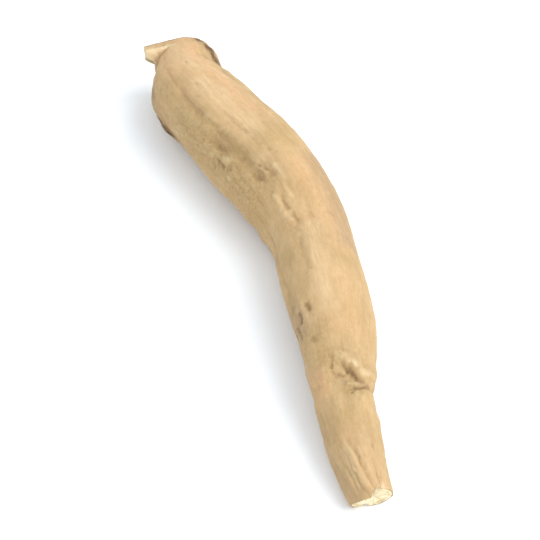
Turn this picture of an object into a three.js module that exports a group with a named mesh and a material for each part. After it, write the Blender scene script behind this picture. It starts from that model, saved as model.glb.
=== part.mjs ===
// A dried piece of licorice root: one solid body, about 110 mm long, lying on its side.
// The thick end where it was cut from the crown is at +Y, the thin snapped tip at -Y, and +Z is up.
// It bows gently towards +X, and it rests on three small flats: under the head, the belly and the tip.
// All sizes are millimetres. A place on the bark is [along, round]: millimetres along the middle line,
// and degrees round the root from its top, growing towards +X.
import * as THREE from "three";

const { degToRad, smoothstep, clamp } = THREE.MathUtils;

// Driving dimensions
const LENGTH = 110; // of the middle line
const HEAD_END = 1.4; // where the head's cut crosses it
const TIP_END = 110.4; // where the snapped tip crosses it
const BARK_SIDES = 60; // facets round the root
const CROWDING = 12; // degrees by which the facets draw together at the top
const CUT_RINGS = 3; // rings of facets between the rim and the middle of a cut end
const COARSE_STEP = 1.75; // ring spacing on the plain stretches
const FINE_STEP = 0.75; // ring spacing at the knot and the two ends
const ROOT_COLOUR = 0xd0a872;

// The middle of the root and its radius, every eleventh of a length: [x, y, z, radius]
const CENTRE_LINE = [
  [0.0, 54.1, 6.0, 5.3],
  [-1.1, 43.2, 7.3, 7.5],
  [0.7, 32.4, 8.3, 8.0],
  [3.8, 21.8, 8.9, 8.1],
  [6.3, 11.1, 8.1, 7.6],
  [7.3, 0.2, 6.8, 7.0],
  [5.9, -10.7, 7.5, 7.2],
  [4.6, -21.7, 7.3, 6.6],
  [2.2, -32.4, 6.0, 5.3],
  [0.4, -43.2, 4.6, 4.6],
  [0.0, -54.1, 2.6, 3.6],
];

// Slow swellings that keep the root from being round: a height, how many lobes it has round the root,
// the length of one wave along it, and where the wave starts
const SWELLINGS = [
  { height: 0.3, lobes: 2, wave: 61, start: 0.4 },
  { height: 0.22, lobes: 3, wave: 37, start: 2.1 },
  { height: 0.2, lobes: 1, wave: 19, start: 4.0 },
  { height: 0.12, lobes: 5, wave: 26, start: 1.2 },
];

// The tip is wider than it is tall
const TIP_FLATTENING = { from: 92, to: 108, depth: 0.75 };

// Ridges (height above 0) and grooves (below 0), each a soft stroke from one place to another
const STROKES = [
  // the narrow neck under the head's right rim, and the rim that stands over it
  { from: [9.0, 20], to: [8.5, 96], half: 2.0, height: -0.45 },
  { from: [4.6, 30], to: [4.4, 64], half: 0.8, height: 0.25 },
  { from: [2.4, 40], to: [2.2, 90], half: 1.6, height: -0.3 },
  // the heel that bulges low on the left, and the hollow before it
  { from: [12.6, -90], to: [13.8, -116], half: 2.7, height: 0.75 },
  { from: [5.5, -78], to: [6.0, -130], half: 2.4, height: -0.8 },
  // the swelling along the top of the shoulder, and the hollow beside it
  { from: [24, -4], to: [31, 3], half: 2.6, height: 0.45 },
  { from: [18, -39], to: [24.5, -39], half: 0.9, height: -0.3 },
  { from: [26, -37], to: [40, -23], half: 1.2, height: 0.3 },
  { from: [30, -52], to: [41.5, -38], half: 1.3, height: -0.35 },
  { from: [41.5, -39], to: [43.0, -36], half: 1.1, height: -0.4 },
  // a bump with a pit on either side, in the rough patch
  { from: [34.6, -63], to: [35.2, -60], half: 1.0, height: 0.4 },
  { from: [33.0, -73], to: [34.4, -72], half: 0.9, height: -0.35 },
  { from: [31.4, -56], to: [33.2, -53], half: 0.8, height: -0.25 },
  // the crumpled line down the middle of the bend
  { from: [40.5, -25], to: [43.5, -22], half: 0.7, height: -0.35 },
  { from: [42.5, -17], to: [45.0, -15], half: 0.8, height: 0.3 },
  { from: [47.3, -36], to: [48.8, -33], half: 0.8, height: 0.4 },
  { from: [48.6, -29], to: [51.0, -27], half: 0.75, height: -0.4 },
  { from: [52.0, -31], to: [54.0, -28], half: 0.8, height: 0.4 },
  { from: [52.6, -25], to: [56.0, -22], half: 0.75, height: -0.4 },
  { from: [57, -30], to: [68, -24], half: 0.9, height: -0.22 },
  // the long hollow on the left flank
  { from: [24, -100], to: [40, -88], half: 2.2, height: -0.35 },
  { from: [56, -84], to: [72, -72], half: 1.6, height: -0.4 },
  // the pits above the knot
  { from: [75.4, -61], to: [77.2, -62], half: 0.8, height: -0.4 },
  { from: [76.9, -77], to: [78.0, -75], half: 0.8, height: -0.35 },
  { from: [78.8, -69], to: [79.8, -68], half: 0.8, height: -0.35 },
  { from: [74.6, -44], to: [75.6, -42], half: 0.8, height: -0.35 },
  { from: [81.0, -47], to: [81.8, -45], half: 0.8, height: -0.3 },
  { from: [76.8, -90], to: [78.0, -87], half: 0.9, height: -0.4 },
  // the knot: lumpy folds with a slanting crease under them
  { from: [85.2, -10], to: [86.0, 0], half: 0.9, height: 0.4 },
  { from: [85.8, 9], to: [86.6, 15], half: 0.9, height: 0.45 },
  { from: [87.6, 22], to: [88.8, 31], half: 1.0, height: 0.5 },
  { from: [88.8, 38], to: [88.8, 60], half: 0.9, height: 0.4 },
  { from: [87.0, 76], to: [86.0, 138], half: 1.4, height: 0.35 },
  { from: [89.4, -14], to: [89.4, 8], half: 0.7, height: -0.25 },
  { from: [88.0, 2], to: [90.4, 20], half: 0.8, height: -0.45 },
  { from: [92.2, 12], to: [91.6, 66], half: 0.8, height: -0.5 },
  { from: [91.0, 70], to: [89.6, 150], half: 1.1, height: -0.4 },
  { from: [93.6, 16], to: [94.2, 28], half: 1.3, height: 0.35 },
  { from: [86.4, -66], to: [88.0, -36], half: 1.5, height: 0.3 },
  { from: [90.5, -165], to: [90.5, -62], half: 1.2, height: -0.3 },
  { from: [94.8, -24], to: [97.2, -16], half: 1.4, height: 0.25 },
  // the strands that stand out and wind a little as the root thins towards the tip
  { from: [100.0, -40], to: [110.5, -14], half: 0.7, height: 0.32 },
  { from: [99.0, -52], to: [110.5, -30], half: 0.75, height: -0.32 },
  { from: [100.0, -74], to: [109.5, -52], half: 0.8, height: 0.28 },
  { from: [101.5, -24], to: [110.5, 2], half: 0.65, height: -0.28 },
  { from: [103.0, -8], to: [110.5, 14], half: 0.65, height: 0.26 },
  { from: [104.0, 14], to: [110.5, 30], half: 0.7, height: -0.26 },
  { from: [98.0, 40], to: [109.0, 58], half: 0.9, height: 0.25 },
  { from: [96.0, 84], to: [109.0, 98], half: 1.0, height: 0.3 },
  { from: [97.0, 140], to: [109.0, 156], half: 1.0, height: -0.35 },
  { from: [96.0, -128], to: [109.0, -104], half: 1.0, height: 0.35 },
];

// Wrinkles that no one would place by hand: a rule spreads them evenly over the bark
const WRINKLE_COUNT = 54;
const WRINKLE_LENGTH = [7, 22];
const WRINKLE_HALF = [0.6, 1.2];
const WRINKLE_HEIGHT = 0.2;
const WRINKLE_DRIFT = 16; // degrees that one may wander round the root
const SPREAD = [0.8191725134, 0.6710436067, 0.5497004779]; // steps of an even three-way sequence

// The smooth flank to the right of the bend, where the wrinkles all but vanish
const SMOOTH_FLANK = { at: [60, 40], reach: [34, 46], least: 0.25 };

// Scars where a rootlet left: a raised rim round a shallow pit, higher on its side towards the tip
const SCARS = [
  { at: [34, 96], radius: 1.2, rim: 0.4, pit: 0.4 },
  { at: [61, 132], radius: 1.4, rim: 0.45, pit: 0.4 },
  { at: [16, 158], radius: 1.1, rim: 0.35, pit: 0.4 },
  { at: [97, 118], radius: 0.8, rim: 0.3, pit: 0.3 },
  { at: [47, -138], radius: 1.2, rim: 0.4, pit: 0.35 },
];

const SCAR_LEAN = 1.2;

// The torn splinter beside the head's cut: a flat strip that leaves the bark and stands out at the left
const SPLINTER = { at: 2.9, half: 1.45, leaves: -8, ends: -66, drop: 6, reach: 7.4 };

// How far a cut end leans: millimetres along the root for each millimetre to the right and up
const HEAD_CUT = { right: 0.12, up: 0.02, dish: 0.35 };
const TIP_CUT = { right: 0, upLeft: 0.35, upRight: 0.02, step: 0.45, stepAt: -0.5, stepHalf: 0.5 };
const TIP_RADIUS = CENTRE_LINE.at(-1)[3];
const HEAD_RADIUS = CENTRE_LINE[0][3];

const centreCurve = new THREE.CatmullRomCurve3(
  CENTRE_LINE.map(([x, y, z]) => new THREE.Vector3(x, y, z)),
  false,
  "catmullrom",
  0.5,
);
const radiusCurve = new THREE.CatmullRomCurve3(
  CENTRE_LINE.map((row) => new THREE.Vector3(row[3], 0, 0)),
  false,
  "catmullrom",
  0.5,
);

// The middle of the root, the way it runs, and the directions to its right and its top.
function frameAt(along) {
  const share = clamp(along / LENGTH, 0, 1);
  const nudge = 0.002;
  const before = centreCurve.getPoint(Math.max(share - nudge, 0));
  const after = centreCurve.getPoint(Math.min(share + nudge, 1));
  const forward = after.sub(before).normalize();
  const right = new THREE.Vector3(0, 0, 1).cross(forward).normalize();
  const up = forward.clone().cross(right);
  const past = along - share * LENGTH;
  const centre = centreCurve.getPoint(share).addScaledVector(forward, past);
  return { centre, right, up };
}

// The point that lies so far along, and so far right and up of the middle there.
function pointAt(along, rightward, upward) {
  const { centre, right, up } = frameAt(along);
  return centre.addScaledVector(right, rightward).addScaledVector(up, upward);
}

// Degrees brought between -180 and 180.
function wrapped(degrees) {
  return ((((degrees + 180) % 360) + 360) % 360) - 180;
}

// The distance over the bark from a place to the straight stroke between two others.
function strokeDistance(along, round, from, to, radius) {
  const degree = degToRad(1) * radius;
  const runAlong = to[0] - from[0];
  const runRound = wrapped(to[1] - from[1]) * degree;
  const hereAlong = along - from[0];
  const hereRound = wrapped(round - from[1]) * degree;
  const share = clamp(
    (hereAlong * runAlong + hereRound * runRound) / (runAlong ** 2 + runRound ** 2),
    0,
    1,
  );
  return Math.hypot(hereAlong - share * runAlong, hereRound - share * runRound);
}

function bell(distance, half) {
  return Math.exp(-((distance / half) ** 2));
}

// How lively the bark is at a place: 1 in general, less on the smooth flank.
function liveliness(along, round) {
  const { at, reach, least } = SMOOTH_FLANK;
  const away = Math.hypot((along - at[0]) / reach[0], wrapped(round - at[1]) / reach[1]);
  return least + (1 - least) * smoothstep(away, 0.5, 1.2);
}

// The even sequence's value number i in one of its three ways, from 0 to 1.
function evenly(i, way) {
  return (0.5 + i * SPREAD[way]) % 1;
}

const wrinkles = Array.from({ length: WRINKLE_COUNT }, (_, i) => {
  const length = WRINKLE_LENGTH[0] + (WRINKLE_LENGTH[1] - WRINKLE_LENGTH[0]) * evenly(i * 7, 2);
  const start = evenly(i, 0) * (LENGTH - length);
  const round = evenly(i, 1) * 360 - 180;
  const half = WRINKLE_HALF[0] + (WRINKLE_HALF[1] - WRINKLE_HALF[0]) * evenly(i * 3, 1);
  const drift = (evenly(i * 5, 0) - 0.5) * WRINKLE_DRIFT;
  const height = WRINKLE_HEIGHT * (i % 2 ? 1 : -1);
  return { from: [start, round], to: [start + length, round + drift], half, height };
});

// How far out the splinter's flat strip reaches at a place, or nothing where there is no strip.
function splinterRadius(along, round, plain) {
  const { at, half, leaves, ends, drop, reach } = SPLINTER;
  if (round > leaves || round < ends - drop) return 0;
  const top = plain / Math.cos(degToRad(Math.max(round, ends) - leaves));
  const flat = Math.min(top, -reach / Math.sin(degToRad(round)));
  const there = 1 - smoothstep(Math.abs(along - at), half, half * 1.4);
  const past = smoothstep(ends - round, 0, drop);
  return plain * 0.9 + (flat - plain * 0.9) * there * (1 - past);
}

// The root's radius at a place, with all of its relief.
function radiusAt(along, round) {
  const share = clamp(along / LENGTH, 0, 1);
  const plain = radiusCurve.getPoint(share).x;
  const angle = degToRad(round);
  let radius = plain;
  for (const { height, lobes, wave, start } of SWELLINGS) {
    const phase = (2 * Math.PI * along) / wave + start;
    radius += height * Math.sin(phase) * Math.cos(lobes * angle + start * 2 + along / wave);
  }
  for (const { from, to, half, height } of STROKES) {
    radius += height * bell(strokeDistance(along, round, from, to, plain), half);
  }
  const lively = liveliness(along, round);
  for (const { from, to, half, height } of wrinkles) {
    radius += lively * height * bell(strokeDistance(along, round, from, to, plain), half);
  }
  for (const { at, radius: size, rim, pit } of SCARS) {
    const away = strokeDistance(along, round, at, [at[0] + 0.01, at[1]], plain);
    const side = 1 + (SCAR_LEAN * (along - at[0])) / (away + size);
    radius += rim * side * bell(away - size, size * 0.45) - pit * bell(away, size * 0.6);
  }
  const { from, to, depth } = TIP_FLATTENING;
  radius -= depth * smoothstep(along, from, to) * Math.cos(angle) ** 2;
  return Math.max(radius, splinterRadius(along, round, plain));
}

// Where the head's cut face lies along the root, at so far right and up of the middle.
function headCutAt(rightward, upward) {
  const { right, up, dish } = HEAD_CUT;
  const out = Math.hypot(rightward, upward) / HEAD_RADIUS;
  return HEAD_END + right * rightward + up * upward + dish * (1 - out ** 2);
}

// Where the snapped tip ends: its left half broke off longer, and under its top edge.
function tipCutAt(rightward, upward) {
  const { right, upLeft, upRight, step, stepAt, stepHalf } = TIP_CUT;
  const torn = smoothstep(rightward, stepAt - stepHalf, stepAt + stepHalf);
  const lean = upLeft + (upRight - upLeft) * torn;
  return TIP_END + right * rightward + lean * upward - step * torn;
}

// Ring places as shares of the way from head to tip, close together where there is much to show.
function ringPlaces() {
  const busy = [HEAD_END, 48, 89, TIP_END];
  const reach = [4, 5, 5, 7];
  const places = [HEAD_END];
  while (places.at(-1) < TIP_END) {
    const here = places.at(-1);
    const near = Math.min(...busy.map((place, i) => Math.abs(here - place) / reach[i]));
    places.push(here + FINE_STEP + (COARSE_STEP - FINE_STEP) * smoothstep(near, 0.8, 2.2));
  }
  const first = places[0];
  const span = places.at(-1) - first;
  return places.map((place) => (place - first) / span);
}

// Rows of points from the middle of the head's cut, over the bark, to the middle of the tip's cut.
function rootRows() {
  const rounds = Array.from({ length: BARK_SIDES }, (_, i) => {
    const even = (360 * i) / BARK_SIDES - 180;
    return even - CROWDING * Math.sin(degToRad(even));
  });
  const onCut = (share, round, cutAt, size) => {
    const sideways = Math.sin(degToRad(round));
    const upward = Math.cos(degToRad(round));
    const rim = cutAt(size * sideways, size * upward);
    const along = cutAt(share * size * sideways, share * size * upward);
    const radius = share * radiusAt(rim, round);
    return pointAt(along, radius * sideways, radius * upward);
  };
  const rows = [];
  for (let ring = 1; ring < CUT_RINGS; ring++) {
    rows.push(rounds.map((round) => onCut(ring / CUT_RINGS, round, headCutAt, HEAD_RADIUS)));
  }
  for (const place of ringPlaces()) {
    rows.push(
      rounds.map((round) => {
        const sideways = Math.sin(degToRad(round));
        const upward = Math.cos(degToRad(round));
        const start = headCutAt(HEAD_RADIUS * sideways, HEAD_RADIUS * upward);
        const end = tipCutAt(TIP_RADIUS * sideways, TIP_RADIUS * upward);
        const along = start + (end - start) * place;
        const radius = radiusAt(along, round);
        return pointAt(along, radius * sideways, radius * upward);
      }),
    );
  }
  for (let ring = CUT_RINGS - 1; ring > 0; ring--) {
    rows.push(rounds.map((round) => onCut(ring / CUT_RINGS, round, tipCutAt, TIP_RADIUS)));
  }
  return rows;
}

// One closed surface through the rows, with a point in the middle of each cut.
function skinned(rows, first, last) {
  const sides = rows[0].length;
  const points = [first, ...rows.flat(), last];
  const lastIndex = points.length - 1;
  const faces = [];
  const index = (row, side) => 1 + row * sides + (side % sides);
  for (let side = 0; side < sides; side++) {
    faces.push(0, index(0, side), index(0, side + 1));
    for (let row = 0; row + 1 < rows.length; row++) {
      const [a, b] = [index(row, side), index(row, side + 1)];
      const [c, d] = [index(row + 1, side), index(row + 1, side + 1)];
      const rising = points[a].distanceTo(points[d]) < points[b].distanceTo(points[c]);
      faces.push(...(rising ? [a, c, d, a, d, b] : [a, c, b, b, c, d]));
    }
    faces.push(lastIndex, index(rows.length - 1, side + 1), index(rows.length - 1, side));
  }
  return new THREE.BufferGeometry().setFromPoints(points).setIndex(faces);
}

// What would lie below the surface is pressed flat, which leaves the three flats that it rests on.
function restedFlat(geometry) {
  const position = geometry.getAttribute("position");
  for (let i = 0; i < position.count; i++) {
    position.setZ(i, Math.max(position.getZ(i), 0));
  }
  geometry.computeBoundingBox();
  const middle = geometry.boundingBox.getCenter(new THREE.Vector3());
  geometry.translate(-middle.x, -middle.y, 0);
  geometry.computeVertexNormals();
  return geometry;
}

const headMiddle = pointAt(headCutAt(0, 0), 0, 0);
const tipMiddle = pointAt(tipCutAt(0, 0), 0, 0);
const root = new THREE.Mesh(
  restedFlat(skinned(rootRows(), headMiddle, tipMiddle)),
  new THREE.MeshStandardMaterial({ color: ROOT_COLOUR, roughness: 0.85, metalness: 0 }),
);
root.name = "licorice_root";

const part = new THREE.Group();
part.add(root);

export default part;
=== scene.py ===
"""A dried piece of licorice root that lies on a pale surface.

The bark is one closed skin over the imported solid. A place on it is a pair: how far it lies along the
root's middle line in millimetres, counted from the cut head, and how far round it lies in degrees,
counted from the top and growing towards +X. The thick head is at +Y and the snapped tip at -Y.
"""

import logging
import math
from collections.abc import Iterable
from dataclasses import dataclass, field
from enum import Enum

import bpy
import numpy as np
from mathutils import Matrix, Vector


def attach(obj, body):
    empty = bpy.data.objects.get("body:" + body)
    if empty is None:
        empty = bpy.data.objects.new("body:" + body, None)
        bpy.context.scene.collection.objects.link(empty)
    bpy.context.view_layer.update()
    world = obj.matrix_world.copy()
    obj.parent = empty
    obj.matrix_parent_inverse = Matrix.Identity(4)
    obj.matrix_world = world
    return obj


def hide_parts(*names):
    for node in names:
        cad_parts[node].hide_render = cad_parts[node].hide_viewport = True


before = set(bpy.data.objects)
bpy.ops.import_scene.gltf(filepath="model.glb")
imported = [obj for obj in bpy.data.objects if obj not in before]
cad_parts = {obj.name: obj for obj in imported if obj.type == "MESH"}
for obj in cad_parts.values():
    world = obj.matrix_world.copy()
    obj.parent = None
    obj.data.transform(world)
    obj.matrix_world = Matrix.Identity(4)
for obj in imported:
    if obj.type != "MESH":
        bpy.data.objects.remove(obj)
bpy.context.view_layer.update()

LOG = logging.getLogger("licorice_root")
MM = 0.001
SKIN_NAME = "licorice_root_skin"

Array = np.ndarray
Pair = tuple[float, float]
Point = tuple[float, float, float]
Colour = tuple[float, float, float, float]
Tree = bpy.types.NodeTree
Socket = bpy.types.NodeSocket


def display(red: int, green: int, blue: int) -> Colour:
    """A colour as the eye reads it on a screen, turned into the linear values that shaders take.

    Args:
        red, green, blue: Screen values from 0 to 255.

    Returns:
        Linear red, green and blue, and an alpha of 1.
    """
    knee, slope, offset, power = 0.04045, 12.92, 0.055, 2.4
    linear = []
    for share in (red / 255, green / 255, blue / 255):
        curved = ((share + offset) / (1 + offset)) ** power
        linear.append(share / slope if share <= knee else curved)
    return (*linear, 1.0)


def smoothstep(value: Array, low: float, high: float) -> Array:
    """Zero below low, one above high, and a smooth rise between them."""
    share = np.clip((value - low) / (high - low), 0, 1)
    return share * share * (3 - 2 * share)


def wrapped(degrees: Array) -> Array:
    """Degrees brought between -180 and 180."""
    return (degrees + 180) % 360 - 180


def new_object(name: str, data: bpy.types.ID) -> bpy.types.Object:
    """A new object in the scene, made of this mesh, lamp or camera.

    Args:
        name: Its name.
        data: What it is made of.

    Returns:
        The object.
    """
    made = bpy.data.objects.new(name, data)
    bpy.context.scene.collection.objects.link(made)
    return made


class SmoothCurve:
    """A curve through points that are spaced evenly in its own parameter, from 0 to 1."""

    def __init__(self, points: Array) -> None:
        """Keeps the points, with one more beyond each end.

        Args:
            points: One row for each point.
        """
        first = 2 * points[:1] - points[1:2]
        last = 2 * points[-1:] - points[-2:-1]
        self.points = np.concatenate([first, points, last])

    def at(self, share: Array) -> Array:
        """The curve's points at these shares of its length.

        Args:
            share: Numbers from 0 to 1, in any shape.

        Returns:
            One point for each share, along one more axis.
        """
        spans = len(self.points) - 3
        place = np.clip(share, 0, 1) * spans
        span = np.minimum(place.astype(int), spans - 1)
        part = (place - span)[..., None]
        before, near, far, after = (self.points[span + step] for step in range(4))
        near_slope = (far - before) / 2
        far_slope = (after - near) / 2
        cubic = 2 * near - 2 * far + near_slope + far_slope
        square = 3 * far - 3 * near - 2 * near_slope - far_slope
        return ((cubic * part + square) * part + near_slope) * part + near


class Lumps:
    """Smooth random heights in space, the same on every run."""

    TABLE = 32

    def __init__(self, seed: int) -> None:
        """Fills the table of heights at the corners of unit cells from this seed."""
        shape = (self.TABLE, self.TABLE, self.TABLE)
        self.corners = np.random.default_rng(seed).uniform(-1, 1, shape)

    def at(self, points: Array, size: Point) -> Array:
        """The height at each point.

        Args:
            points: Points in millimetres, along the last axis.
            size: How large a lump is in each of the three directions, in millimetres.

        Returns:
            Heights from -1 to 1.
        """
        scaled = points / np.array(size)
        cell = np.floor(scaled).astype(int)
        part = scaled - cell
        ease = part * part * (3 - 2 * part)
        total = np.zeros(points.shape[:-1])
        for corner in np.ndindex(2, 2, 2):
            index = (cell + corner) % self.TABLE
            weight = np.prod(np.where(np.array(corner) == 1, ease, 1 - ease), axis=-1)
            total += weight * self.corners[index[..., 0], index[..., 1], index[..., 2]]
        return total


@dataclass(frozen=True)
class Places:
    """Places on the bark: millimetres along, degrees round, and the root's plain radius there."""

    along: Array
    around: Array
    plain: Array

    STRAY_SEEDS = (51, 61)
    STRAY_SIZES = ((4.5, 1.8, 1.8), (1.6, 0.8, 0.8), (0.6, 0.4, 0.4))

    def rows(self, chosen: Array) -> "Places":
        """Only the chosen rows of the places."""
        return Places(self.along[chosen], self.around[chosen], self.plain[chosen])

    def degree(self) -> Array:
        """How many millimetres one degree is there."""
        return math.radians(1) * self.plain

    def grain(self) -> Array:
        """The places on a root pulled straight, so that grain runs along it and closes round it."""
        angle = np.radians(self.around)
        return np.stack([self.along, self.plain * np.sin(angle), self.plain * np.cos(angle)], axis=-1)

    def strayed(self, reach: float) -> "Places":
        """The places moved a little this way and that, so that nothing drawn on them looks even.

        Args:
            reach: How far a place may stray, in millimetres.

        Returns:
            The moved places.
        """
        grain = self.grain()
        shift = [
            sum(Lumps(seed + n).at(grain, size) / (n + 1) for n, size in enumerate(self.STRAY_SIZES))
            for seed in self.STRAY_SEEDS
        ]
        around = self.around + np.degrees(reach * shift[1] / self.plain)
        return Places(self.along + reach * shift[0], around, self.plain)


@dataclass(frozen=True)
class Stroke:
    """A soft line from one place on the bark to another, such as a ridge, a groove or a smear."""

    start: Pair
    end: Pair
    half: float
    height: float

    # How many half widths it is felt for, and what keeps a stroke of no length from dividing by zero
    REACH = 3
    TINY = 1e-9

    def bell(self, places: Places) -> Array:
        """How strongly the stroke is felt at each place.

        Args:
            places: The places.

        Returns:
            One on the stroke's line, falling to nothing a few half widths away.
        """
        degree = places.degree()
        run_along = self.end[0] - self.start[0]
        run_round = wrapped(np.array(self.end[1] - self.start[1])) * degree
        here_along = places.along - self.start[0]
        here_round = wrapped(places.around - self.start[1]) * degree
        run = run_along**2 + run_round**2 + self.TINY
        share = np.clip((here_along * run_along + here_round * run_round) / run, 0, 1)
        away = np.hypot(here_along - share * run_along, here_round - share * run_round)
        return np.exp(-((away / self.half) ** 2))

    def heights(self, places: Places) -> Array:
        """The stroke's height at each place, worked out only on the rings that it reaches.

        Args:
            places: The places, one row for each ring.

        Returns:
            Heights in millimetres, or strengths from 0 to 1.
        """
        height = np.zeros_like(places.along)
        low = min(self.start[0], self.end[0]) - self.REACH * self.half
        high = max(self.start[0], self.end[0]) + self.REACH * self.half
        rows = (places.along.max(axis=1) > low) & (places.along.min(axis=1) < high)
        height[rows] = self.height * self.bell(places.rows(rows))
        return height


def strokes(*rows: tuple[float, ...]) -> tuple[Stroke, ...]:
    """Strokes from rows of six numbers.

    Args:
        rows: Where each starts (along, around), where it ends (along, around), half its width in
            millimetres, and its height in millimetres or its strength.

    Returns:
        The strokes.
    """
    return tuple(Stroke(row[0:2], row[2:4], row[4], row[5]) for row in rows)


def strongest(marks: Iterable[Stroke], places: Places) -> Array:
    """How strongly the strongest of some marks is felt at each place.

    Args:
        marks: The marks.
        places: The places, one row for each ring.

    Returns:
        Strengths from 0 up.
    """
    strength = np.zeros_like(places.along)
    for mark in marks:
        strength = np.maximum(strength, mark.heights(places))
    return strength


@dataclass(frozen=True)
class Scar:
    """Where a rootlet left: a raised rim round a shallow pit, higher on its side towards the tip."""

    at: Pair
    radius: float
    rim: float
    pit: float
    lean: float = 1.2
    rim_width: float = 0.45
    pit_width: float = 0.6

    def heights(self, places: Places) -> Array:
        """The scar's height at each place.

        Args:
            places: The places.

        Returns:
            Millimetres above the bark, or below it.
        """
        further = places.along - self.at[0]
        away = np.hypot(further, wrapped(places.around - self.at[1]) * places.degree())
        side = 1 + self.lean * further / (away + self.radius)
        rim = np.exp(-(((away - self.radius) / (self.radius * self.rim_width)) ** 2))
        return self.rim * side * rim - self.pit * np.exp(-((away / (self.radius * self.pit_width)) ** 2))


@dataclass(frozen=True)
class Swelling:
    """A slow wave in the root's thickness, with some lobes round it."""

    height: float
    lobes: int
    wave: float
    start: float

    def heights(self, places: Places) -> Array:
        """The wave's height at each place, in millimetres above the plain radius or below it."""
        lobes = self.lobes * np.radians(places.around) + self.start * 2 + places.along / self.wave
        return self.height * np.sin(2 * math.pi * places.along / self.wave + self.start) * np.cos(lobes)


class Tone(Enum):
    """The colours that lie over the plain tan of the bark, with the painted light and shade that some of
    their marks carry.
    """

    # Also painted shade: under the heel and beside the head's right rim
    STAIN_AND_SHADE = "dark brown, in pits and creases"
    # Also painted highlights: on bumps, and along the lit top of the head, shoulder and bend
    PALE_AND_HIGHLIGHT = "pale straw, where the cork has rubbed away"
    OLIVE = "dull olive brown, where the bark is rough"
    # Also painted light along the lit top of the shoulder and the bend
    ROSY_AND_HIGHLIGHT = "warm peach, where it is smooth"
    # Also painted shade: under the heel, on the underside and on the right flank of the bend
    TAUPE_AND_SHADE = "greyish brown, towards the underside"


class End(Enum):
    """The root's two cut ends."""

    HEAD = "the thick head, sawn through"
    TIP = "the thin tip, snapped off"


# The middle of the root and its radius, every eleventh of a length: x, y, z, radius
CENTRE_LINE = (
    (0.0, 54.1, 6.0, 5.3),
    (-1.1, 43.2, 7.3, 7.5),
    (0.7, 32.4, 8.3, 8.0),
    (3.8, 21.8, 8.9, 8.1),
    (6.3, 11.1, 8.1, 7.6),
    (7.3, 0.2, 6.8, 7.0),
    (5.9, -10.7, 7.5, 7.2),
    (4.6, -21.7, 7.3, 6.6),
    (2.2, -32.4, 6.0, 5.3),
    (0.4, -43.2, 4.6, 4.6),
    (0.0, -54.1, 2.6, 3.6),
)
# From the middle line's own frame to the middle of the footprint
CENTRING = (-2.698, 1.046)

SWELLINGS = (
    Swelling(0.3, 2, 61, 0.4),
    Swelling(0.22, 3, 37, 2.1),
    Swelling(0.2, 1, 19, 4.0),
    Swelling(0.12, 5, 26, 1.2),
)

# The relief that shows from a step away
STROKES = strokes(
    # the narrow neck under the head's right rim, and the rim that stands over it
    (9.0, 20, 8.5, 96, 2.0, -0.45),
    (4.6, 30, 4.4, 64, 0.8, 0.25),
    (2.4, 40, 2.2, 90, 1.6, -0.3),
    # the heel that bulges low on the left, and the hollow before it
    (12.6, -90, 13.8, -116, 2.7, 0.75),
    (5.5, -78, 6.0, -130, 2.4, -0.8),
    # the swelling along the top of the shoulder, and the hollow beside it
    (24, -4, 31, 3, 2.6, 0.45),
    (18, -39, 24.5, -39, 0.8, -0.25),
    (26, -37, 40, -23, 1.2, 0.3),
    (30, -52, 41.5, -38, 1.3, -0.35),
    (41.5, -39, 43.0, -36, 1.1, -0.4),
    # a bump with a pit on either side, in the rough patch
    (34.6, -63, 35.2, -60, 0.9, 0.35),
    (33.0, -73, 34.4, -72, 0.7, -0.3),
    (31.4, -56, 33.2, -53, 0.6, -0.2),
    # the crumpled line down the middle of the bend
    (40.5, -25, 43.5, -22, 0.7, -0.35),
    (42.5, -17, 45.0, -15, 0.8, 0.3),
    (47.3, -36, 48.8, -33, 0.7, 0.3),
    (48.6, -29, 51.0, -27, 0.7, -0.24),
    (52.0, -31, 54.0, -28, 0.7, 0.3),
    (52.6, -25, 56.0, -22, 0.7, -0.24),
    (57, -30, 68, -24, 0.9, -0.22),
    # the long hollow on the left flank
    (24, -100, 40, -88, 2.2, -0.35),
    (56, -84, 72, -72, 1.6, -0.4),
    # the pits above the knot
    (75.4, -61, 77.2, -62, 0.7, -0.35),
    (76.9, -77, 78.0, -75, 0.7, -0.3),
    (78.8, -69, 79.8, -68, 0.7, -0.3),
    (74.6, -44, 75.6, -42, 0.6, -0.25),
    (81.0, -47, 81.8, -45, 0.6, -0.2),
    (76.8, -90, 78.0, -87, 0.8, -0.3),
    # the knot: lumpy folds with a slanting crease under them
    (85.2, -10, 86.0, 0, 0.8, 0.3),
    (85.8, 9, 86.6, 15, 0.8, 0.35),
    (87.6, 22, 88.8, 31, 0.9, 0.4),
    (88.8, 38, 88.8, 60, 0.9, 0.35),
    (87.0, 76, 86.0, 138, 1.4, 0.35),
    (89.4, -14, 89.4, 8, 0.6, -0.15),
    (88.0, 2, 90.4, 20, 0.6, -0.2),
    (92.2, 12, 91.6, 66, 0.6, -0.22),
    (91.0, 70, 89.6, 150, 1.1, -0.4),
    (93.6, 16, 94.2, 28, 1.3, 0.35),
    (86.4, -66, 88.0, -36, 1.5, 0.3),
    (90.5, -165, 90.5, -62, 1.2, -0.3),
    (94.8, -24, 97.2, -16, 1.4, 0.25),
    # the strands that stand out and wind a little as the root thins towards the tip
    (100.0, -40, 110.5, -14, 0.7, 0.22),
    (99.0, -52, 110.5, -30, 0.75, -0.18),
    (100.0, -74, 109.5, -52, 0.8, 0.2),
    (101.5, -24, 110.5, 2, 0.65, -0.16),
    (103.0, -8, 110.5, 14, 0.65, 0.18),
    (104.0, 14, 110.5, 30, 0.7, -0.15),
    (98.0, 40, 109.0, 58, 0.9, 0.25),
    (96.0, 84, 109.0, 98, 1.0, 0.3),
    (97.0, 140, 109.0, 156, 1.0, -0.35),
    (96.0, -128, 109.0, -104, 1.0, 0.35),
)

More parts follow.
